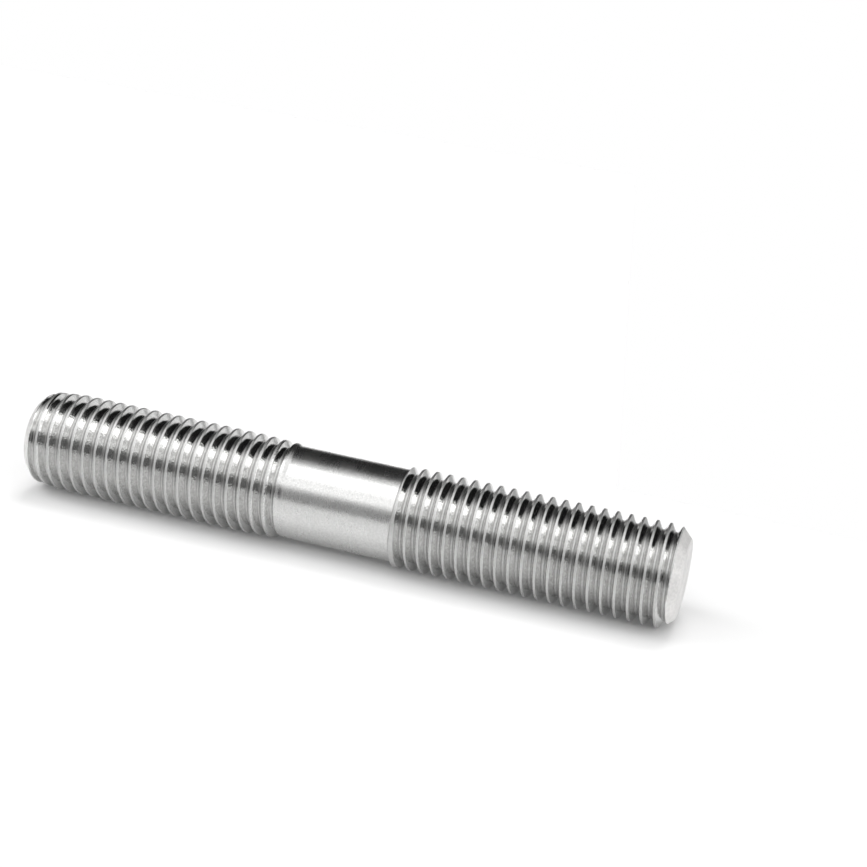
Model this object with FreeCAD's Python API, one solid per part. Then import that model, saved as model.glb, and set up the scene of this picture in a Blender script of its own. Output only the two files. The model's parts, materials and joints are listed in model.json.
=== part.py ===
import FreeCAD, Part

import math
import os

# Double ended stud, M12 x 1.5 x 80 mm, made from one bar of stainless steel: cut to length,
# chamfered at both ends and thread-rolled from each end, with a short plain shank left between.
# It stands on its lower end. The axis is +Z and the middle of the lower end face is the origin.
# Both threads are right-hand. The threaded stretches are given here at the diameter that their
# crests reach, without the single turns, and with the real ends and run-outs.

# Thread sizes, in millimetres
nominal_diameter = 12.0
crest_allowance = 0.12
pitch = 1.5

# Lengths along the axis, which add up to 80 mm
lower_thread_length = 32.9
shank_length = 13.55
upper_thread_length = 33.55

# Both ends: the radial width of the 45 degree chamfer, and the broken edge of the end face
end_chamfer = 1.35
edge_radius = 0.12

# Lower end: behind the chamfer, the first turns start this much under the full radius and reach
# it over the length of the lead
lead_drop = 0.35
lead_length = 3.5

# Run-outs: the last turns of the lower thread sink towards the shank before its shoulder, and the
# upper thread starts at its full size behind a short slope
runout_turns = 3
lower_shoulder_length = 0.45
upper_shoulder_length = 0.55

# Derived radii. The plain shank is the blank that the threads are rolled on, so its diameter is
# the pitch diameter of the thread: the nominal diameter less 3/8 of the height of the sharp thread
# form on each side.
sharp_form_height = pitch * math.sin(math.radians(60.0))
crest_radius = (nominal_diameter - crest_allowance) / 2.0
shank_radius = nominal_diameter / 2.0 - sharp_form_height * 3.0 / 8.0
runout_radius = (crest_radius + shank_radius) / 2.0
face_radius = crest_radius - end_chamfer
lead_radius = crest_radius - lead_drop

# Derived heights
overall_length = lower_thread_length + shank_length + upper_thread_length
lower_chamfer_top = lead_radius - face_radius
lead_top = lower_chamfer_top + lead_length
lower_shoulder_bottom = lower_thread_length - lower_shoulder_length
runout_bottom = lower_shoulder_bottom - runout_turns * pitch
shank_top = lower_thread_length + shank_length
upper_shoulder_top = shank_top + upper_shoulder_length
upper_chamfer_bottom = overall_length - end_chamfer


def outline():
    """Half section of the stud as (radius, height) points, from the axis at the foot to the axis at the top."""
    lower_end = [
        (0.0, 0.0),
        (face_radius, 0.0),
        (lead_radius, lower_chamfer_top),
    ]
    lower_thread = [
        (crest_radius, lead_top),
        (crest_radius, runout_bottom),
        (runout_radius, lower_shoulder_bottom),
    ]
    shank = [
        (shank_radius, lower_thread_length),
        (shank_radius, shank_top),
    ]
    upper_thread = [
        (crest_radius, upper_shoulder_top),
        (crest_radius, upper_chamfer_bottom),
    ]
    upper_end = [
        (face_radius, overall_length),
        (0.0, overall_length),
    ]
    return lower_end + lower_thread + shank + upper_thread + upper_end


def turned_body():
    """The outline turned about the axis, one solid."""
    points = [FreeCAD.Vector(radius, 0.0, height) for radius, height in outline()]
    half_section = Part.Face(Part.makePolygon(points + points[:1]))
    return half_section.revolve(FreeCAD.Vector(0, 0, 0), FreeCAD.Vector(0, 0, 1), 360.0).Solids[0]


def end_face_edges(body):
    """The two circles that bound the end faces."""
    found = []
    for edge in body.Edges:
        if not isinstance(edge.Curve, Part.Circle):
            continue
        height = edge.Curve.Center.z
        at_an_end = min(abs(height), abs(height - overall_length)) < 1e-6
        if at_an_end and abs(edge.Curve.Radius - face_radius) < 1e-6:
            found.append(edge)
    return found


def stud():
    """The turned body with the sharp edge of each end face broken."""
    body = turned_body()
    return body.makeFillet(edge_radius, end_face_edges(body))


os.makedirs("parts", exist_ok=True)
part = stud()
part.exportStep("parts/stud.step")
print(f"stud: volume {part.Volume:.1f} mm3, length {part.BoundBox.ZLength:.3f} mm, valid {part.isValid()}")
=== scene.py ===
"""Double ended stud, M12 x 1.5 x 80 mm, of bright stainless steel.

The stud stands on its lower end at the origin. It is one turned and rolled bar, so it is one piece
here: a fine helical mesh that carries both threads, their run-outs, the plain shank and the
chamfered ends. The camera is rolled, so that the picture shows the stud lying on white ground.
"""

import json
import logging
import math
from dataclasses import dataclass, field
from enum import Enum

import bmesh
import bpy
from mathutils import Matrix, Vector


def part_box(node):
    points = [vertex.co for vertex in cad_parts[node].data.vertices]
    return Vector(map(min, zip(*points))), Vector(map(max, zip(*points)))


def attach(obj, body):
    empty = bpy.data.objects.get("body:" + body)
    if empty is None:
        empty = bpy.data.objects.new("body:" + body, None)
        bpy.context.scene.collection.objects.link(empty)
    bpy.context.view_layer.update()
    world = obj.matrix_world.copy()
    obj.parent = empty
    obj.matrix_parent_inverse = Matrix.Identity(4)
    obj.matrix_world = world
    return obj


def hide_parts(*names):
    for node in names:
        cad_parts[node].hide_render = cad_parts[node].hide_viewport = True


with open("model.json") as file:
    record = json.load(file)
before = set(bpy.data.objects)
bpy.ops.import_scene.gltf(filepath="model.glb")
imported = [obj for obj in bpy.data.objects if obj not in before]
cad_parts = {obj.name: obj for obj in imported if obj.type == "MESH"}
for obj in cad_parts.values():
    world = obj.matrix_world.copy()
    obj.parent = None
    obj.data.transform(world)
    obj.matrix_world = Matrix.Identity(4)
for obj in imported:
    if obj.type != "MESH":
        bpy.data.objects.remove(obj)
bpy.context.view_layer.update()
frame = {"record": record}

MM = 0.001
# Distance from an end within which a point lies on the end face, in mm.
END_MARGIN = 1e-4
# Half the angle between the two flanks of a groove.
HALF_ANGLE = math.radians(30.0)
log = logging.getLogger("stud")

# Noise keeps near the middle of 0 to 1, so this stretch of it makes the full swing of a shade.
NOISE_LOW = 0.35
NOISE_HIGH = 0.65
# A mark follows a circle of this radius through its noise, so that it changes little on its way round.
MARK_RUN = 1.6
# Finer patterns on top of each noise, and the strength of each as a share of the one before.
MARK_DETAIL = 3.0
MARK_FALL = 0.6
GRAIN_DETAIL = 2.0
GRAIN_FALL = 0.6
BLOTCH_DETAIL = 4.0
BLOTCH_FALL = 0.55


def linear_colour(code: str) -> tuple[float, float, float, float]:
    """Turns an sRGB hex value into linear colour.

    Args:
        code: Six hex digits after a hash sign.

    Returns:
        Red, green, blue and an alpha of 1, all linear.
    """
    channels = [int(code[start : start + 2], 16) / 255.0 for start in (1, 3, 5)]
    linear = [c / 12.92 if c <= 0.04045 else ((c + 0.055) / 1.055) ** 2.4 for c in channels]
    return (linear[0], linear[1], linear[2], 1.0)


def add_node(
    tree: bpy.types.NodeTree, kind: str, inputs: dict | None = None, **settings: object
) -> bpy.types.Node:
    """Adds one node with its settings and links.

    Args:
        tree: The node tree that gets the node.
        kind: Blender's name for the type of node.
        inputs: A value or an output socket for each input, by the input's name or number.
        **settings: Attributes of the node.

    Returns:
        The new node.
    """
    node = tree.nodes.new(kind)
    for name, value in settings.items():
        setattr(node, name, value)
    for name, value in (inputs or {}).items():
        if isinstance(value, bpy.types.NodeSocket):
            tree.links.new(value, node.inputs[name])
        else:
            node.inputs[name].default_value = value
    return node


def empty_tree(owner: bpy.types.Material | bpy.types.World) -> bpy.types.NodeTree:
    """Turns the nodes of a material or world on and empties them.

    Args:
        owner: The material or world, changed in place.

    Returns:
        Its node tree.
    """
    owner.use_nodes = True
    owner.node_tree.nodes.clear()
    return owner.node_tree


def ray_share(tree: bpy.types.NodeTree, kinds: tuple[str, ...]) -> bpy.types.NodeSocket:
    """Adds up outputs of the light path, so that a shader can tell how it is looked at.

    Args:
        tree: The node tree that gets the nodes.
        kinds: Names of the light path's outputs, two or more.

    Returns:
        A value of 1 for those kinds of rays and 0 for the others.
    """
    path = add_node(tree, "ShaderNodeLightPath")
    total = path.outputs[kinds[0]]
    for kind in kinds[1:]:
        both = {0: total, 1: path.outputs[kind]}
        total = add_node(tree, "ShaderNodeMath", both, operation="ADD").outputs[0]
    return total


def smooth_step(low: float, high: float, value: float) -> float:
    """Rises from 0 at low to 1 at high with level ends."""
    share = min(1.0, max(0.0, (value - low) / (high - low)))
    return share * share * (3.0 - 2.0 * share)


def along(points: tuple[tuple[float, float], ...], value: float) -> float:
    """Reads a line of straight runs through (place, height) points.

    Args:
        points: The points, in order of place.
        value: The place to read.

    Returns:
        The height there, level beyond the first and last points.
    """
    if value <= points[0][0]:
        return points[0][1]
    for (start, low), (end, high) in zip(points, points[1:]):
        if value <= end:
            return low + (high - low) * (value - start) / (end - start)
    return points[-1][1]


def rounded_minimum(first: float, second: float, rounding: float) -> float:
    """The lower of two heights, with the corner between them rounded over the given height."""
    share = max(rounding - abs(first - second), 0.0) / rounding
    return min(first, second) - share * share * rounding / 4.0


def sorting_number(place: Vector) -> float:
    """A number that sorts places by height and tells apart those at one height."""
    return place.z * 1e6 + place.x * 1e3 + place.y


class Surface(Enum):
    """The ways in which the surfaces of the stud are made, in the order of the piece's materials."""

    ROLLED = 0
    ROOT = 1
    CREST = 2
    DRAWN = 3
    TURNED = 4


@dataclass(frozen=True)
class SteelFinish:
    """Bright stainless steel with marks that run round the axis.

    Attributes:
        name: Name of the material.
        colour: sRGB hex value of the metal.
        roughness: Mean roughness.
        roughness_spread: How far the roughness swings about the mean.
        mark_spacing: Spacing of the marks along the axis, mm.
        mark_depth: Depth of the marks, mm.
        grain_size: Size of the fine grain, mm. The real grain is finer than a pixel of the render,
            so it is drawn about two pixels wide.
        grain_depth: Depth of the grain, mm.
        grain_shade: How much darker the hollows of the grain are, as a share of the colour.
        blotch_size: Size of the duller patches, mm.
        blotch_shade: How much darker those patches are, as a share of the colour.
    """

    name: str
    colour: str
    roughness: float
    roughness_spread: float
    mark_spacing: float
    mark_depth: float
    grain_size: float
    grain_depth: float
    grain_shade: float
    blotch_size: float
    blotch_shade: float

    def material(self) -> bpy.types.Material:
        """Makes the material.

        Returns:
            The material with its nodes.
        """
        material = bpy.data.materials.new(self.name)
        tree = empty_tree(material)
        place = add_node(tree, "ShaderNodeTexCoord").outputs["Object"]
        marks = self.marks(tree, place)
        grain = self.speckle(tree, place, self.grain_size, GRAIN_DETAIL, GRAIN_FALL)
        blotches = self.speckle(tree, place, self.blotch_size, BLOTCH_DETAIL, BLOTCH_FALL)
        # The marks count half as much as the blotches
        dullness = add_node(
            tree, "ShaderNodeMath", {0: marks, 1: 0.5, 2: blotches}, operation="MULTIPLY_ADD"
        )
        roughness = add_node(
            tree,
            "ShaderNodeMapRange",
            {
                "Value": dullness.outputs[0],
                "From Min": 0.5,
                "From Max": 1.0,
                "To Min": self.roughness - self.roughness_spread,
                "To Max": self.roughness + self.roughness_spread,
            },
        )
        lines = {"Height": marks, "Distance": self.mark_depth * MM, "Strength": 1.0}
        lined = add_node(tree, "ShaderNodeBump", lines).outputs[0]
        grains = {"Height": grain, "Distance": self.grain_depth * MM, "Strength": 1.0, "Normal": lined}
        bump = add_node(tree, "ShaderNodeBump", grains)
        shades = {
            0: self.darkening(tree, grain, self.grain_shade),
            1: self.darkening(tree, blotches, self.blotch_shade),
        }
        shade = add_node(tree, "ShaderNodeMath", shades, operation="MULTIPLY").outputs[0]
        tint = {0: linear_colour(self.colour)[:3], "Scale": shade}
        colour = add_node(tree, "ShaderNodeVectorMath", tint, operation="SCALE")
        steel = add_node(
            tree,
            "ShaderNodeBsdfPrincipled",
            {
                "Base Color": colour.outputs[0],
                "Metallic": 1.0,
                "Roughness": roughness.outputs[0],
                "Normal": bump.outputs[0],
            },
        )
        add_node(tree, "ShaderNodeOutputMaterial", {"Surface": steel.outputs[0]})
        return material

    def marks(self, tree: bpy.types.NodeTree, place: bpy.types.NodeSocket) -> bpy.types.NodeSocket:
        """Adds the fine lines that the dies, the drawing die or the lathe tool left round the axis.

        Args:
            tree: The material's nodes.
            place: The place on the object.

        Returns:
            The height of the lines, from 0 to 1.
        """
        parts = add_node(tree, "ShaderNodeSeparateXYZ", {0: place}).outputs
        side = add_node(tree, "ShaderNodeCombineXYZ", {"X": parts["X"], "Y": parts["Y"]}).outputs[0]
        around = add_node(tree, "ShaderNodeVectorMath", {0: side}, operation="NORMALIZE").outputs[0]
        spaced = {0: parts["Z"], 1: 1.0 / (self.mark_spacing * MM)}
        axial = add_node(tree, "ShaderNodeMath", spaced, operation="MULTIPLY").outputs[0]
        ring = add_node(tree, "ShaderNodeCombineXYZ", {"Z": axial}).outputs[0]
        drawn = {0: around, 1: (MARK_RUN, MARK_RUN, MARK_RUN), 2: ring}
        track = add_node(tree, "ShaderNodeVectorMath", drawn, operation="MULTIPLY_ADD").outputs[0]
        noise = {"Vector": track, "Scale": 1.0, "Detail": MARK_DETAIL, "Roughness": MARK_FALL}
        return add_node(tree, "ShaderNodeTexNoise", noise).outputs["Fac"]

    def speckle(
        self, tree: bpy.types.NodeTree, place: bpy.types.NodeSocket, size: float, detail: float, fall: float
    ) -> bpy.types.NodeSocket:
        """Adds an even irregular pattern.

        Args:
            tree: The material's nodes.
            place: The place on the object.
            size: Size of its largest grains, mm.
            detail: Number of finer patterns on top of it.
            fall: Strength of each finer pattern, as a share of the one before.

        Returns:
            The height of the pattern, from 0 to 1.
        """
        noise = {"Vector": place, "Scale": 1.0 / (size * MM), "Detail": detail, "Roughness": fall}
        return add_node(tree, "ShaderNodeTexNoise", noise).outputs["Fac"]

    def darkening(
        self, tree: bpy.types.NodeTree, pattern: bpy.types.NodeSocket, depth: float
    ) -> bpy.types.NodeSocket:
        """Adds the share of the colour that the hollows of a pattern keep.

        Args:
            tree: The material's nodes.
            pattern: The height of the pattern.
            depth: How much darker the hollows are.

        Returns:
            The share, up to 1.
        """
        swing = {"From Min": NOISE_LOW, "From Max": NOISE_HIGH, "To Min": 1.0 - depth, "To Max": 1.0}
        return add_node(tree, "ShaderNodeMapRange", {"Value": pattern, **swing}).outputs[0]


# Rolled stainless steel: the dies burnish the flanks, which leaves them glossy, with fine lines
# along the turns.
ROLLED_STEEL = SteelFinish(
    name="rolled_stainless_steel",
    colour="#dadad9",
    roughness=0.09,
    roughness_spread=0.02,
    mark_spacing=0.12,
    mark_depth=0.004,
    grain_size=0.25,
    grain_depth=0.018,
    grain_shade=0.2,
    blotch_size=2.5,
    blotch_shade=0.05,
)
# Coined stainless steel: the tips of the dies drag in the roots, which leaves them satin.
COINED_STEEL = SteelFinish(
    name="coined_stainless_steel",
    colour="#c8c8c7",
    roughness=0.32,
    roughness_spread=0.05,
    mark_spacing=0.12,
    mark_depth=0.004,
    grain_size=0.22,
    grain_depth=0.012,
    grain_shade=0.2,
    blotch_size=2.5,
    blotch_shade=0.05,
)
# Free-formed stainless steel: the crests swell up between the dies without touching them, so they
# stay matt and catch light from all sides as thin pale lines.
CREST_STEEL = SteelFinish(
    name="free_formed_stainless_steel",
    colour="#cfcfce",
    roughness=0.5,
    roughness_spread=0.05,
    mark_spacing=0.12,
    mark_depth=0.002,
    grain_size=0.25,
    grain_depth=0.006,
    grain_shade=0.12,
    blotch_size=2.5,
    blotch_shade=0.04,
)
# Drawn stainless steel: the bar as it left the drawing die, satin with a fine grain.
DRAWN_STEEL = SteelFinish(
    name="drawn_stainless_steel",
    colour="#d6d6d5",
    roughness=0.27,
    roughness_spread=0.03,
    mark_spacing=0.22,
    mark_depth=0.003,
    grain_size=0.24,
    grain_depth=0.006,
    grain_shade=0.13,
    blotch_size=3.0,
    blotch_shade=0.03,
)
# Turned stainless steel: end faces and chamfers from the lathe tool, matt.
TURNED_STEEL = SteelFinish(
    name="turned_stainless_steel",
    colour="#f4f3f2",
    roughness=0.7,
    roughness_spread=0.05,
    mark_spacing=0.15,
    mark_depth=0.003,
    grain_size=0.3,
    grain_depth=0.006,
    grain_shade=0.08,
    blotch_size=2.4,
    blotch_shade=0.1,
)

FINISHES = {
    Surface.ROLLED: ROLLED_STEEL,
    Surface.ROOT: COINED_STEEL,
    Surface.CREST: CREST_STEEL,
    Surface.DRAWN: DRAWN_STEEL,
    Surface.TURNED: TURNED_STEEL,
}


@dataclass
class RolledThread:
    """A right-hand rolled thread of 60 degree form, as turns of a groove in the bar.

    Heights and radii are in mm. A turn of 0 is the first crest on the -Y side of the stud.

    Attributes:
        first_crest: Height of crest 0 on the -Y side.
        pitch: Height from crest to crest.
        root_radius: Radius of the stud at the bottom of the groove.
        root_round: Radius of the rounding in the groove.
        groove_rise: (turn, rise) points: how far the groove's bottom lies above its full depth.
    """

    first_crest: float
    pitch: float
    root_radius: float
    root_round: float
    groove_rise: tuple[tuple[float, float], ...]

    def crest_turn(self, height: float, bearing: float) -> float:
        """Turn of the nearest crest, counted along the thread.

        Args:
            height: Height on the stud.
            bearing: Turns about the axis from the -Y side, anticlockwise from above.

        Returns:
            The number of the nearest crest plus the bearing.
        """
        return round((height - self.first_crest) / self.pitch - bearing) + bearing

    def groove(self, height: float, bearing: float) -> float:
        """Radius of the groove's surface, which runs on above the crests.

        Args:
            height: Height on the stud.
            bearing: Turns about the axis from the -Y side.

        Returns:
            The radius of the nearest turn of the groove.
        """
        phase = (height - self.first_crest) / self.pitch - bearing
        number = math.floor(phase) + 0.5
        distance = abs(phase - number) * self.pitch
        arc_end = self.root_round * math.cos(HALF_ANGLE)
        if distance < arc_end:
            rise = self.root_round - math.sqrt(self.root_round**2 - distance**2)
        else:
            rise = distance / math.tan(HALF_ANGLE) - self.root_round
        return self.root_radius + rise + along(self.groove_rise, number + bearing)


@dataclass
class ThreadedStud:
    """The whole stud: both ends, both threads and the plain shank, one piece.

    All sizes are in mm, and heights are above the lower end face. The turns are spaced as they are
    counted in the photograph, 52.14 in the length, which is 2% wider than the nominal pitch of 1.5.

    Attributes:
        length: Length over both end faces.
        crest_radius: Radius over the full crests.
        turns_in_length: Number of turns that the whole length would hold.
        shank_radius: Radius of the plain shank.
        face_radius: Radius of the end faces, before their edge is broken.
        face_edge: Radius of the broken edge of the end faces.
        root_radius: Radius at the bottom of the grooves.
        root_round: Radius of the rounding in the grooves.
        crest_rounding: Height over which the edges of the crests are rounded.
        lower_chamfer_top: Height of the top of the lower chamfer.
        lower_lead_radius: Radius of the first crests, at the top of the lower chamfer.
        lower_lead_top: Height at which the crests reach their full radius.
        lower_first_crest: Height of the lower thread's crest 0 on the -Y side.
        lower_groove_rise: How far the lower groove's bottom lies above its depth, by turn.
        shoulder_turn: Turn of the lower thread from which the upper side of its crest falls away.
        shoulder_fall: Turns above that crest over which it falls to the shank.
        drawn_turn: Turn of the lower thread past which its crest is as smooth as the shank.
        upper_reach: How far below its slope the upper thread's groove starts to count.
        upper_ring: Height of the foot of the slope from the shank to the upper thread.
        upper_ramp_top: Height of the top of that slope.
        upper_first_crest: Height of the upper thread's crest 0 on the -Y side.
        upper_groove_rise: How far the upper groove's bottom lies above its depth, by turn.
        upper_chamfer_bottom: Height of the bottom of the upper chamfer.
        matt_width: Width of the matt lower part of a crest's land, in turns.
        root_from: Distance from the crest at which the root's finish starts, in turns.
        cone_margin: How far under a chamfer a point still belongs to it.
        face_margin: How far under an end face a point still belongs to it.
        grid_turns_between: Turns of the grid from crest 0 of the lower thread to that of the upper.
        plain_after: Turns of the grid after the lower crest 0 at which it leaves that thread.
        plain_before: Turns of the grid before the upper crest 0 at which it joins that thread.
        segments: Points of the grid in each turn.
        rows: Places of the grid's rows in half a turn, from a crest to a root.
        edge_row: The row that is drawn to the edges of the lands.
        ring_gap: Distance of the rings above and below the slope from its ends.
        lower_cone_rings: Rings on the lower chamfer.
        upper_cone_rings: Rings on the upper chamfer.
        face_rings: Radii of the rings on the end faces.
    """

    length: float
    crest_radius: float
    turns_in_length: float = 52.14
    shank_radius: float = 5.513
    face_radius: float = 4.59
    face_edge: float = 0.12
    root_radius: float = 5.02
    root_round: float = 0.18
    crest_rounding: float = 0.045
    lower_chamfer_top: float = 1.0
    lower_lead_radius: float = 5.59
    lower_lead_top: float = 4.5
    lower_first_crest: float = 2.145
    lower_groove_rise: tuple[tuple[float, float], ...] = ((19.8, 0.0), (20.05, 0.2), (20.25, 0.9))
    shoulder_turn: float = 19.5
    shoulder_fall: float = 0.36
    drawn_turn: float = 19.75
    upper_reach: float = 1.0
    upper_ring: float = 46.66
    upper_ramp_top: float = 46.88
    upper_first_crest: float = 47.1
    upper_groove_rise: tuple[tuple[float, float], ...] = ((-0.3, 0.9), (-0.1, 0.45), (0.15, 0.0))
    upper_chamfer_bottom: float = 78.65
    matt_width: float = 0.18
    root_from: float = 0.4
    cone_margin: float = 0.05
    face_margin: float = 0.01
    grid_turns_between: int = 29
    plain_after: float = 20.6
    plain_before: float = 0.7
    segments: int = 80
    rows: tuple[float, ...] = (0.0, 0.068, 0.086, 0.102, 0.24, 0.392, 0.428, 0.464, 0.5)
    edge_row: int = 2
    ring_gap: float = 0.04
    lower_cone_rings: int = 4
    upper_cone_rings: int = 6
    face_rings: tuple[float, ...] = (4.3, 3.0, 1.5, 0.5)
    pitch: float = field(init=False)
    lower: RolledThread = field(init=False)
    upper: RolledThread = field(init=False)

    def __post_init__(self) -> None:
        """Works out the pitch and lays out both threads."""
        self.pitch = self.length / self.turns_in_length
        groove = {"pitch": self.pitch, "root_radius": self.root_radius, "root_round": self.root_round}
        self.lower = RolledThread(
            first_crest=self.lower_first_crest, groove_rise=self.lower_groove_rise, **groove
        )
        self.upper = RolledThread(
            first_crest=self.upper_first_crest, groove_rise=self.upper_groove_rise, **groove
        )

    def on_upper(self, height: float) -> bool:
        """Tells the upper thread and its slope from the lower thread and the shank."""
        return height >= self.upper_ring - self.upper_reach

    def lower_crest(self, turn: float) -> float:
        """Radius of the lower thread's crests, which sink towards the shank over its last turns.

        Args:
            turn: Turns along the thread from crest 0.

        Returns:
            The radius of the crest there.
        """
        sink = (
            (17.2, self.crest_radius),
            (17.8, 5.87),
            (18.8, 5.81),
            (19.83, 5.74),
            (20.0, 5.61),
            (20.1, self.shank_radius),
        )
        return along(sink, turn)

    def lower_lead(self, height: float) -> float:
        """Radius of the lead behind the lower chamfer, where the first turns aren't quite full.

        Args:
            height: Height on the stud.

        Returns:
            The radius there.
        """
        lead = (
            (self.lower_chamfer_top, self.lower_lead_radius),
            (self.lower_lead_top, self.crest_radius),
        )
        return along(lead, height)

    def blank(self, height: float, bearing: float) -> float:
        """Radius of the stud where no groove cuts it.

        Args:
            height: Height on the stud.
            bearing: Turns about the axis from the -Y side.

        Returns:
            The radius of the ends, crests and shank.
        """
        if height < self.lower_lead_top:
            return min(self.lower_lead(height), self.chamfer(height))
        if not self.on_upper(height):
            turn = self.lower.crest_turn(height, bearing)
            crest = self.lower_crest(turn)
            past = (height - self.lower.first_crest) / self.pitch - turn
            if turn > self.shoulder_turn:
                left = 1.0 - smooth_step(0.0, self.shoulder_fall, past)
                crest = self.shank_radius + (crest - self.shank_radius) * left
            return crest
        ramp = (
            (self.upper_ring, self.shank_radius),
            (self.upper_ramp_top, self.crest_radius),
        )
        return min(along(ramp, height), self.chamfer(self.length - height))

    def chamfer(self, depth: float) -> float:
        """Radius of a 45 degree chamfer with its broken edge.

        Args:
            depth: Depth below the end face.

        Returns:
            The radius there.
        """
        tangent = self.face_edge * math.tan(math.radians(22.5))
        depth = max(depth, 0.0)
        if depth < self.face_edge * (1.0 - math.cos(math.radians(45.0))):
            arc = math.sqrt(self.face_edge**2 - (self.face_edge - depth) ** 2)
            return self.face_radius - tangent + arc
        return self.face_radius + depth

    def radius(self, height: float, bearing: float) -> float:
        """Radius of the finished surface.

        Args:
            height: Height on the stud.
            bearing: Turns about the axis from the -Y side.

        Returns:
            The radius there.
        """
        thread = self.upper if self.on_upper(height) else self.lower
        blank = self.blank(height, bearing)
        return rounded_minimum(blank, thread.groove(height, bearing), self.crest_rounding)

    def plain_turns(self) -> tuple[float, float]:
        """Turns of the grid between which it lies on the plain shank."""
        return (self.plain_after, self.grid_turns_between - self.plain_before)

    def land_edge(self, turn: float) -> float:
        """Half the width of a crest's land, which is wider where the crest is cut down.

        Args:
            turn: Turns along the grid from crest 0 of the lower thread.

        Returns:
            The half width, in turns.
        """
        leave, arrive = self.plain_turns()
        lowered = min(self.lower_crest(turn), self.lower_lead(self.grid_height(turn)))
        depths = [radius - self.root_radius + self.root_round for radius in (self.crest_radius, lowered)]
        full, local = (0.5 - depth * math.tan(HALF_ANGLE) / self.pitch for depth in depths)
        return local + (full - local) * smooth_step(leave, arrive, turn)

    def row_turn(self, number: int, row: float, bearing: float) -> float:
        """Turn of a row of the grid, with the rows drawn to the edges of the lands.

        Args:
            number: The crest that the row belongs to.
            row: Place of the row among the turns of a full crest, from -0.5 to 0.5.
            bearing: Turns about the axis from the -Y side.

        Returns:
            Turns along the grid.
        """
        turn = number + bearing
        full = self.rows[self.edge_row]
        edge = self.land_edge(turn)
        if abs(row) <= full:
            return turn + row * edge / full
        return turn + math.copysign(edge + (abs(row) - full) * (0.5 - edge) / (0.5 - full), row)

    def grid_height(self, turn: float) -> float:
        """Height of the helical grid, which follows each thread and spreads its rows over the shank.

        Args:
            turn: Turns along the grid from crest 0 of the lower thread.

        Returns:
            The height there.
        """
        leave, arrive = self.plain_turns()
        low = self.lower_first_crest + self.pitch * leave
        high = self.upper_first_crest + self.pitch * (arrive - self.grid_turns_between)
        if turn <= leave:
            return self.lower_first_crest + self.pitch * turn
        if turn >= arrive:
            return self.upper_first_crest + self.pitch * (turn - self.grid_turns_between)
        return low + (high - low) * (turn - leave) / (arrive - leave)

    def cylinder(self) -> bmesh.types.BMesh:
        """A cylinder of radius 1 whose rows of faces run along the threads, longer than the stud.

        Returns:
            The mesh, with no ends.
        """
        steps = [-row for row in self.rows[-2:0:-1]] + list(self.rows)
        spare = 3
        turns_above = 25
        numbers = range(-spare, self.grid_turns_between + turns_above)
        places = [(number, step) for number in numbers for step in steps]
        mesh = bmesh.new()
        grid = []
        for number, step in places:
            row = []
            for column in range(self.segments):
                bearing = column / self.segments - 0.5
                angle = 2.0 * math.pi * bearing
                height = self.grid_height(self.row_turn(number, step, bearing))
                row.append(mesh.verts.new((math.sin(angle), -math.cos(angle), height)))
            grid.append(row)
        per_turn = len(steps)
        for index in range(len(places) - per_turn - 1):
            for column in range(self.segments):
                if column + 1 < self.segments:
                    right = (grid[index][column + 1], grid[index + 1][column + 1])
                else:
                    right = (grid[index + per_turn][0], grid[index + per_turn + 1][0])
                mesh.faces.new((grid[index][column], right[0], right[1], grid[index + 1][column]))
        return mesh

    def rings(self) -> list[float]:
        """Lists the heights at which the grid gets a ring, where an edge runs straight round.

        Returns:
            The heights, in mm.
        """
        arc = [self.face_edge * (1.0 - math.cos(math.radians(angle))) for angle in (22.5, 45.0)]
        lower_cone = [
            self.lower_chamfer_top * ring / self.lower_cone_rings
            for ring in range(1, self.lower_cone_rings + 1)
        ]
        slope = [
            self.upper_ring - self.ring_gap,
            self.upper_ring,
            (self.upper_ring + self.upper_ramp_top) / 2.0,
            self.upper_ramp_top,
            self.upper_ramp_top + self.ring_gap,
        ]
        cone = self.length - self.upper_chamfer_bottom
        upper_cone = [
            cone * ring / self.upper_cone_rings for ring in range(1, self.upper_cone_rings + 1)
        ]
        upper = [self.length - depth for depth in arc + upper_cone]
        return arc + lower_cone + [self.lower_lead_top] + slope + upper

    def cut_ends(self, mesh: bmesh.types.BMesh) -> None:
        """Cuts the cylinder to length and adds the rings.

        Args:
            mesh: The cylinder, changed in place.
        """
        for height, sign in ((0.0, 1.0), (self.length, -1.0)):
            bmesh.ops.bisect_plane(
                mesh,
                geom=mesh.verts[:] + mesh.edges[:] + mesh.faces[:],
                dist=1e-7,
                plane_co=(0.0, 0.0, height),
                plane_no=(0.0, 0.0, sign),
                clear_inner=True,
            )
        longest_face = 1.5
        for height in self.rings():
            faces = [face for face in mesh.faces if abs(face.verts[0].co.z - height) < longest_face]
            near = {item for face in faces for item in (face, *face.edges, *face.verts)}
            bmesh.ops.bisect_plane(
                mesh, geom=list(near), dist=1e-5, plane_co=(0.0, 0.0, height), plane_no=(0.0, 0.0, 1.0)
            )

    def shape(self, mesh: bmesh.types.BMesh) -> None:
        """Moves every point of the cylinder to the radius of the finished surface.

        Args:
            mesh: The cylinder, changed in place.
        """
        for point in mesh.verts:
            bearing = math.atan2(point.co.x, -point.co.y) / (2.0 * math.pi)
            reach = self.radius(point.co.z, bearing) / math.hypot(point.co.x, point.co.y)
            point.co.x *= reach
            point.co.y *= reach

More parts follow.
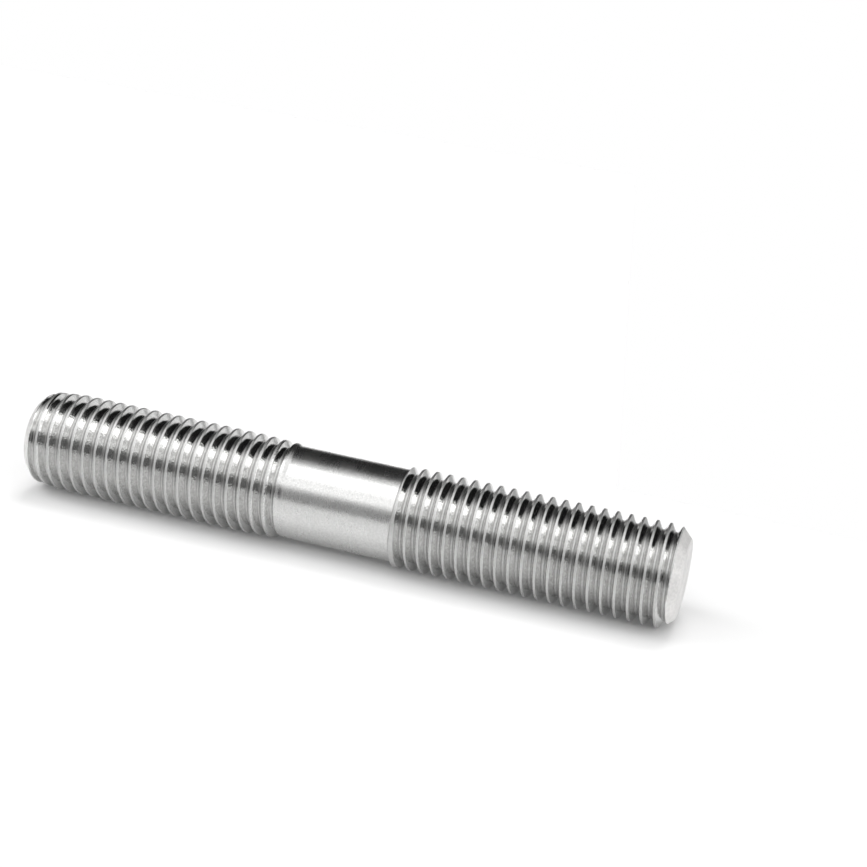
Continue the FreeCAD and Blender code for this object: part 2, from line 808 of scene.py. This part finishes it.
    def close_ends(self, mesh: bmesh.types.BMesh) -> None:
        """Closes both ends with flat faces of a few rings.

        Args:
            mesh: The shaped mesh, changed in place.
        """
        for height in (0.0, self.length):
            rim = [edge for edge in mesh.edges if edge.is_boundary]
            edges = [edge for edge in rim if abs(edge.verts[0].co.z - height) < END_MARGIN]
            for radius in self.face_rings:
                made = bmesh.ops.extrude_edge_only(mesh, edges=edges)["geom"]
                edges = [item for item in made if isinstance(item, bmesh.types.BMEdge)]
                for point in (item for item in made if isinstance(item, bmesh.types.BMVert)):
                    reach = radius / math.hypot(point.co.x, point.co.y)
                    point.co = (point.co.x * reach, point.co.y * reach, height)
            bmesh.ops.edgeloop_fill(mesh, edges=edges)

    def surface(self, centre: Vector) -> Surface:
        """How the surface at the middle of a face was made.

        Args:
            centre: The middle of the face.

        Returns:
            The kind of surface.
        """
        radius = math.hypot(centre.x, centre.y)
        bearing = math.atan2(centre.x, -centre.y) / (2.0 * math.pi)
        at_end = min(centre.z, self.length - centre.z)
        on_cone = at_end < self.lower_chamfer_top and radius > self.chamfer(at_end) - self.cone_margin
        if on_cone or at_end < self.face_margin:
            return Surface.TURNED
        on_upper = self.on_upper(centre.z)
        thread = self.upper if on_upper else self.lower
        turn = thread.crest_turn(centre.z, bearing)
        past = (centre.z - thread.first_crest) / self.pitch - turn
        if thread.groove(centre.z, bearing) <= self.blank(centre.z, bearing):
            return Surface.ROOT if abs(past) > self.root_from else Surface.ROLLED
        on_shank = centre.z < self.upper_ring if on_upper else turn > self.drawn_turn
        if on_shank:
            return Surface.DRAWN
        edge = self.land_edge(turn + (self.grid_turns_between if on_upper else 0))
        return Surface.CREST if past < self.matt_width - edge else Surface.ROLLED

    def normal(self, place: Vector) -> tuple[float, float, float]:
        """Direction that the finished surface faces at a point.

        Args:
            place: The point, in mm.

        Returns:
            The unit vector out of the surface.
        """
        if place.z < END_MARGIN:
            return (0.0, 0.0, -1.0)
        if place.z > self.length - END_MARGIN:
            return (0.0, 0.0, 1.0)
        bearing = math.atan2(place.x, -place.y) / (2.0 * math.pi)
        step = 0.004
        turn = 0.002
        low = max(place.z - step, 0.0)
        high = min(place.z + step, self.length)
        radius = self.radius(place.z, bearing)
        slope = (self.radius(high, bearing) - self.radius(low, bearing)) / (high - low)
        swing = self.radius(place.z, bearing + turn) - self.radius(place.z, bearing - turn)
        twist = swing / (4.0 * math.pi * turn * radius)
        out = Vector((place.x / radius, place.y / radius, 0.0))
        round_axis = Vector((-out.y, out.x, 0.0))
        facing = (out - twist * round_axis - slope * Vector((0.0, 0.0, 1.0))).normalized()
        return facing[:]

    def build(self) -> bpy.types.Object:
        """Builds and dresses the piece.

        Returns:
            The finished object, which stands for the CAD node.
        """
        shaped = self.cylinder()
        self.cut_ends(shaped)
        self.shape(shaped)
        self.close_ends(shaped)
        bmesh.ops.triangulate(shaped, faces=shaped.faces[:])
        # The cuts leave points and faces in an order that changes from run to run
        shaped.verts.sort(key=lambda point: sorting_number(point.co))
        shaped.faces.sort(key=lambda face: sorting_number(face.calc_center_median()))
        for face in shaped.faces:
            face.smooth = True
            face.material_index = self.surface(face.calc_center_median()).value
        data = bpy.data.meshes.new("threaded_stud")
        shaped.to_mesh(data)
        shaped.free()
        normals = [self.normal(vertex.co) for vertex in data.vertices]
        data.transform(Matrix.Scale(MM, 4))
        data.normals_split_custom_set_from_vertices(normals)
        for surface in Surface:
            data.materials.append(FINISHES[surface].material())
        piece = bpy.data.objects.new("threaded_stud", data)
        bpy.context.scene.collection.objects.link(piece)
        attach(piece, "root")
        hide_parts("stud")
        return piece


@dataclass(frozen=True)
class LightPanel:
    """A patch of soft light far from the stud, by the ways it is seen from there, in degrees.

    Attributes:
        low: Lower edge, as a turn about the stud's axis: 0 is level towards the camera, 90 is
            straight up from the ground and 180 is level at the back.
        high: Upper edge.
        foot: Edge towards the lower end of the stud, as an angle out of the plane across the axis.
        head: Edge towards the upper end.
        level: Brightness, where 1 is white.
        fade_low: Width of the fade at the lower edge.
        fade_high: Width of the fade at the upper edge.
        fade_side: Width of the fade at both other edges.
    """

    low: float
    high: float
    foot: float
    head: float
    level: float
    fade_low: float
    fade_high: float
    fade_side: float

    def brightness(
        self, tree: bpy.types.NodeTree, turn: bpy.types.NodeSocket, lean: bpy.types.NodeSocket
    ) -> bpy.types.NodeSocket:
        """Adds the panel to the world.

        Args:
            tree: The world's nodes.
            turn: The turn of each way about the axis, in degrees.
            lean: The lean of each way towards the upper end, in degrees.

        Returns:
            The panel's brightness by way.
        """
        total = None
        for way, edge, fade, sign in (
            (turn, self.low, self.fade_low, 1.0),
            (turn, self.high, self.fade_high, -1.0),
            (lean, self.foot, self.fade_side, 1.0),
            (lean, self.head, self.fade_side, -1.0),
        ):
            ends = {"Value": way, "From Min": edge - sign * fade / 2.0, "From Max": edge + sign * fade / 2.0}
            inside = add_node(tree, "ShaderNodeMapRange", ends, interpolation_type="SMOOTHSTEP").outputs[0]
            product = {0: self.level if total is None else total, 1: inside}
            total = add_node(tree, "ShaderNodeMath", product, operation="MULTIPLY").outputs[0]
        return total


@dataclass
class Studio:
    """White ground under the lying stud, the light round it and the camera.

    The ground is the plane that the stud lies against in the picture. It faces the way that the
    picture calls up, and touches the stud's crests on the other side. Its outline is given as
    distances from under the stud's middle, in mm, towards the camera and along the stud's axis. Its
    far corner is cut away, and the crests at the upper end mirror the darker room there.

    Attributes:
        stud_length: Length of the stud, mm.
        stud_radius: Radius over the stud's crests, mm.
        up_bearing: Way that the ground faces, in degrees from -Y towards -X.
        ground_outline: Corners of the ground, mm.
        ground_colour: sRGB hex value of the paper.
        ground_glow: Light that the paper gives off by itself, for the eye and for mirroring steel.
        lens: Focal length of the camera, mm.
        sensor: Width of its sensor, mm.
        clip: Nearest and furthest distance that the camera sees, mm.
        position: Place of the camera, mm.
        right: Way to the right of the picture.
        upward: Way to the top of the picture.
        forward: Way that the camera looks.
        room_level: Brightness of the dark room, where 1 is white.
        lamp_strength: Strength of the back lamp, W/m2.
        lamp_turn: Way to the back lamp, as a turn about the stud's axis in degrees.
        lamp_width: Width of the back lamp, degrees.
        panels: The soft panels, each as low, high, foot, head, level and its three fades.
    """

    stud_length: float
    stud_radius: float
    up_bearing: float = 73.0
    ground_outline: tuple[tuple[float, float], ...] = (
        (260.0, -260.0),
        (260.0, 260.0),
        (-40.0, 260.0),
        (-40.0, 25.0),
        (-260.0, -15.0),
        (-260.0, -260.0),
    )
    ground_colour: str = "#e3e3e3"
    ground_glow: float = 0.08
    lens: float = 77.649
    sensor: float = 36.0
    clip: tuple[float, float] = (5.0, 10000.0)
    position: tuple[float, float, float] = (-20.741, -210.734, 99.334)
    right: tuple[float, float, float] = (-0.19642, 0.24002, 0.95069)
    upward: tuple[float, float, float] = (-0.97932, 0.0, -0.20233)
    forward: tuple[float, float, float] = (0.04856, 0.97077, -0.23505)
    room_level: float = 0.015
    lamp_strength: float = 0.96
    lamp_turn: float = 110.0
    lamp_width: float = 24.0
    panels: tuple[LightPanel, ...] = (
        # The long box above, with a brighter front edge and brighter towards the lower end
        LightPanel(31.0, 93.0, -95.0, 95.0, 1.33, 20.0, 3.0, 4.0),
        LightPanel(31.0, 45.0, -95.0, 95.0, 0.5, 8.0, 8.0, 4.0),
        LightPanel(66.0, 93.0, -64.0, -23.0, 2.2, 8.0, 3.0, 10.0),
        LightPanel(60.0, 92.0, -23.0, -8.0, 0.8, 8.0, 5.0, 6.0),
        # Its back edge, which reaches further towards the upper end
        LightPanel(93.0, 106.0, -18.0, 5.0, 1.15, 6.0, 8.0, 8.0),
        LightPanel(93.0, 106.0, 5.0, 95.0, 1.47, 6.0, 8.0, 8.0),
        LightPanel(104.0, 124.0, 5.0, 95.0, 0.5, 8.0, 8.0, 8.0),
        LightPanel(96.0, 130.0, 58.0, 85.0, 1.4, 6.0, 8.0, 6.0),
        # The dim front of the room, towards the lower end
        LightPanel(2.0, 30.0, -26.0, -6.0, 0.34, 4.0, 12.0, 6.0),
        LightPanel(2.0, 26.0, -75.0, -26.0, 0.21, 4.0, 12.0, 6.0),
        # The back wall, level with the ground and past its cut corner
        LightPanel(175.0, 190.0, -95.0, 95.0, 0.5, 6.0, 4.0, 4.0),
        LightPanel(-190.0, -150.0, -95.0, 95.0, 0.5, 4.0, 4.0, 4.0),
        # The low panels at the back, towards the upper end
        LightPanel(157.0, 177.0, 14.0, 48.0, 0.95, 6.0, 5.0, 8.0),
        LightPanel(150.0, 177.0, 48.0, 95.0, 0.4, 6.0, 4.0, 8.0),
    )

    def up(self) -> Vector:
        """The way that the ground faces."""
        angle = math.radians(self.up_bearing)
        return Vector((-math.sin(angle), -math.cos(angle), 0.0))

    def front(self) -> Vector:
        """The way along the ground towards the camera."""
        angle = math.radians(self.up_bearing - 90.0)
        return Vector((-math.sin(angle), -math.cos(angle), 0.0))

    def build_ground(self) -> bpy.types.Object:
        """Lays the white ground, which is clear from its back.

        Returns:
            The ground, which is part of the stage.
        """
        # Uncoated white paper: matt, and lifted by a little glow where it is looked at, so that its
        # open part comes out white and the stud's shadow stays soft
        material = bpy.data.materials.new("white_paper_ground")
        tree = empty_tree(material)
        paper = add_node(tree, "ShaderNodeBsdfDiffuse", {"Color": linear_colour(self.ground_colour)})
        seen = ray_share(tree, ("Is Camera Ray", "Is Glossy Ray", "Is Transmission Ray"))
        glow = add_node(tree, "ShaderNodeMath", {0: seen, 1: self.ground_glow}, operation="MULTIPLY")
        light = add_node(tree, "ShaderNodeEmission", {"Strength": glow.outputs[0]})
        lit = add_node(tree, "ShaderNodeAddShader", {0: paper.outputs[0], 1: light.outputs[0]})
        side = add_node(tree, "ShaderNodeNewGeometry")
        clear = add_node(tree, "ShaderNodeBsdfTransparent")
        faces = {0: side.outputs["Backfacing"], 1: lit.outputs[0], 2: clear.outputs[0]}
        shader = add_node(tree, "ShaderNodeMixShader", faces)
        add_node(tree, "ShaderNodeOutputMaterial", {"Surface": shader.outputs[0]})
        up = self.up()
        front = self.front()
        middle = Vector((0.0, 0.0, self.stud_length / 2.0)) - up * self.stud_radius
        axis = Vector((0.0, 0.0, 1.0))
        corners = [middle + front * near + axis * lengthwise for near, lengthwise in self.ground_outline]
        data = bpy.data.meshes.new("white_ground")
        data.from_pydata([corner * MM for corner in corners], [], [tuple(range(len(corners)))])
        if data.polygons[0].normal.dot(up) < 0.0:
            data.flip_normals()
        data.materials.append(material)
        ground = bpy.data.objects.new("white_ground", data)
        bpy.context.scene.collection.objects.link(ground)
        return ground

    def build_light(self) -> None:
        """Lights the stage with soft panels in a dark room, where the camera sees plain white."""
        world = bpy.data.worlds.new("studio")
        tree = empty_tree(world)
        ways = add_node(tree, "ShaderNodeTexCoord").outputs["Generated"]
        rise = add_node(tree, "ShaderNodeVectorMath", {0: ways, 1: self.up()}, operation="DOT_PRODUCT")
        reach = add_node(tree, "ShaderNodeVectorMath", {0: ways, 1: self.front()}, operation="DOT_PRODUCT")
        sides = {0: rise.outputs["Value"], 1: reach.outputs["Value"]}
        angle = add_node(tree, "ShaderNodeMath", sides, operation="ARCTAN2")
        turn = add_node(tree, "ShaderNodeMath", {0: angle.outputs[0]}, operation="DEGREES").outputs[0]
        height = add_node(tree, "ShaderNodeSeparateXYZ", {0: ways}).outputs["Z"]
        slant = add_node(tree, "ShaderNodeMath", {0: height}, operation="ARCSINE")
        lean = add_node(tree, "ShaderNodeMath", {0: slant.outputs[0]}, operation="DEGREES").outputs[0]
        total = self.room_level
        for panel in self.panels:
            sum_so_far = {0: total, 1: panel.brightness(tree, turn, lean)}
            total = add_node(tree, "ShaderNodeMath", sum_so_far, operation="ADD").outputs[0]
        pure_white = (1.0, 1.0, 1.0, 1.0)
        studio = add_node(tree, "ShaderNodeBackground", {"Color": pure_white, "Strength": total})
        white = add_node(tree, "ShaderNodeBackground", {"Color": pure_white, "Strength": 1.0})
        # The steel mirrors the ground, the panels and the dark room between them, which give it the
        # bright bands and black edges that the photograph shows.
        seen = ray_share(tree, ("Is Camera Ray", "Is Transmission Ray"))
        backdrop = add_node(tree, "ShaderNodeMixShader", {0: seen, 1: studio.outputs[0], 2: white.outputs[0]})
        add_node(tree, "ShaderNodeOutputWorld", {"Surface": backdrop.outputs[0]})
        bpy.context.scene.world = world

    def build_lamp(self) -> bpy.types.Object:
        """Hangs a wide soft lamp behind the stud, which deepens the stud's shadow on the paper.

        The steel doesn't mirror it, because the panels already stand for all that shows there.

        Returns:
            The lamp.
        """
        data = bpy.data.lights.new("back_lamp", "SUN")
        data.energy = self.lamp_strength
        data.angle = math.radians(self.lamp_width)
        lamp = bpy.data.objects.new("back_lamp", data)
        angle = math.radians(self.lamp_turn)
        towards = self.up() * math.sin(angle) + self.front() * math.cos(angle)
        lamp.rotation_euler = towards.to_track_quat("Z", "Y").to_euler()
        lamp.visible_glossy = False
        bpy.context.scene.collection.objects.link(lamp)
        return lamp

    def build_camera(self) -> bpy.types.Object:
        """Sets up the camera where the photograph was taken from.

        Returns:
            The camera, which is the scene's.
        """
        data = bpy.data.cameras.new("camera")
        data.lens = self.lens
        data.sensor_width = self.sensor
        data.clip_start = self.clip[0] * MM
        data.clip_end = self.clip[1] * MM
        camera = bpy.data.objects.new("camera", data)
        bpy.context.scene.collection.objects.link(camera)
        turned = Matrix((self.right, self.upward, (-Vector(self.forward))[:])).transposed().to_4x4()
        camera.matrix_world = Matrix.Translation(Vector(self.position) * MM) @ turned
        bpy.context.scene.camera = camera
        return camera


def main() -> None:
    """Builds the stud, the stage, the light and the camera."""
    logging.basicConfig(level=logging.INFO, format="%(message)s")
    low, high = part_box("stud")
    crest = next(mount for mount in frame["record"]["mounts"] if mount["name"] == "upper_thread")
    stud = ThreadedStud(length=(high[2] - low[2]) / MM, crest_radius=crest["dims"]["r_mm"])
    piece = stud.build()
    log.info("threaded stud: %d triangles", len(piece.data.polygons))
    studio = Studio(stud_length=stud.length, stud_radius=stud.crest_radius)
    studio.build_ground()
    studio.build_light()
    studio.build_lamp()
    studio.build_camera()
    log.info("stage, light and camera are set")
    bpy.context.scene.view_settings.view_transform = "Standard"


if __name__ == "__main__":
    main()
